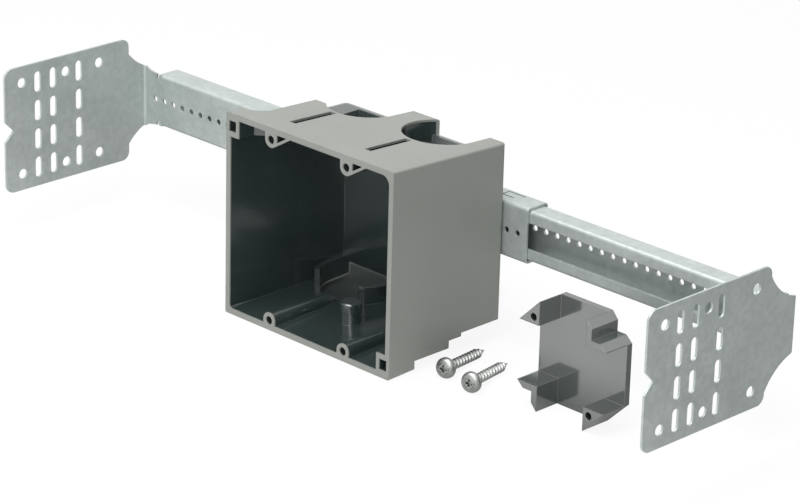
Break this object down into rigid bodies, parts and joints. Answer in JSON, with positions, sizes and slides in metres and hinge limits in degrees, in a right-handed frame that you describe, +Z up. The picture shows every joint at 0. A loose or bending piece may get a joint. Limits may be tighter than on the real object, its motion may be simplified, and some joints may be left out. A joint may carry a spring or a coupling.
{
  "type": "adjustable switch box",
  "caption": "Deep two-gang switch box on a telescoping bracket that spans two wall studs, with its rear clamp plate and screws laid beside it.",
  "frame": {"origin": "centre of the four device screw holes, in the plane of the box's open front", "axes": "+X along the bar towards the wider bracket half's plate, +Y from the open front to the back, +Z up"},
  "size_m": [0.387, 0.0967, 0.0934],
  "materials": {
    "box_plastic": "smooth moulded",
    "sleeve_steel": "galvanised",
    "bar_steel": "galvanised",
    "clamp_plastic": "smooth moulded",
    "screw_zinc": "bright zinc"
  },
  "bodies": {
    "sleeve": {"outer_bracket": "sleeve_steel"},
    "bar": {"inner_bracket": "bar_steel"},
    "box": {"box_body": "box_plastic", "clamp_plate": "clamp_plastic", "clamp_screw_1": "screw_zinc", "clamp_screw_2": "screw_zinc"}
  },
  "joints": [
    {"name": "bracket_slide", "type": "slide", "parent": "sleeve", "child": "bar", "axis": [1, 0, 0], "range_m": [-0.016, 0.187]},
    {"name": "box_slide", "type": "slide", "parent": "sleeve", "child": "box", "axis": [1, 0, 0], "range_m": [-0.125, 0.028]}
  ]
}
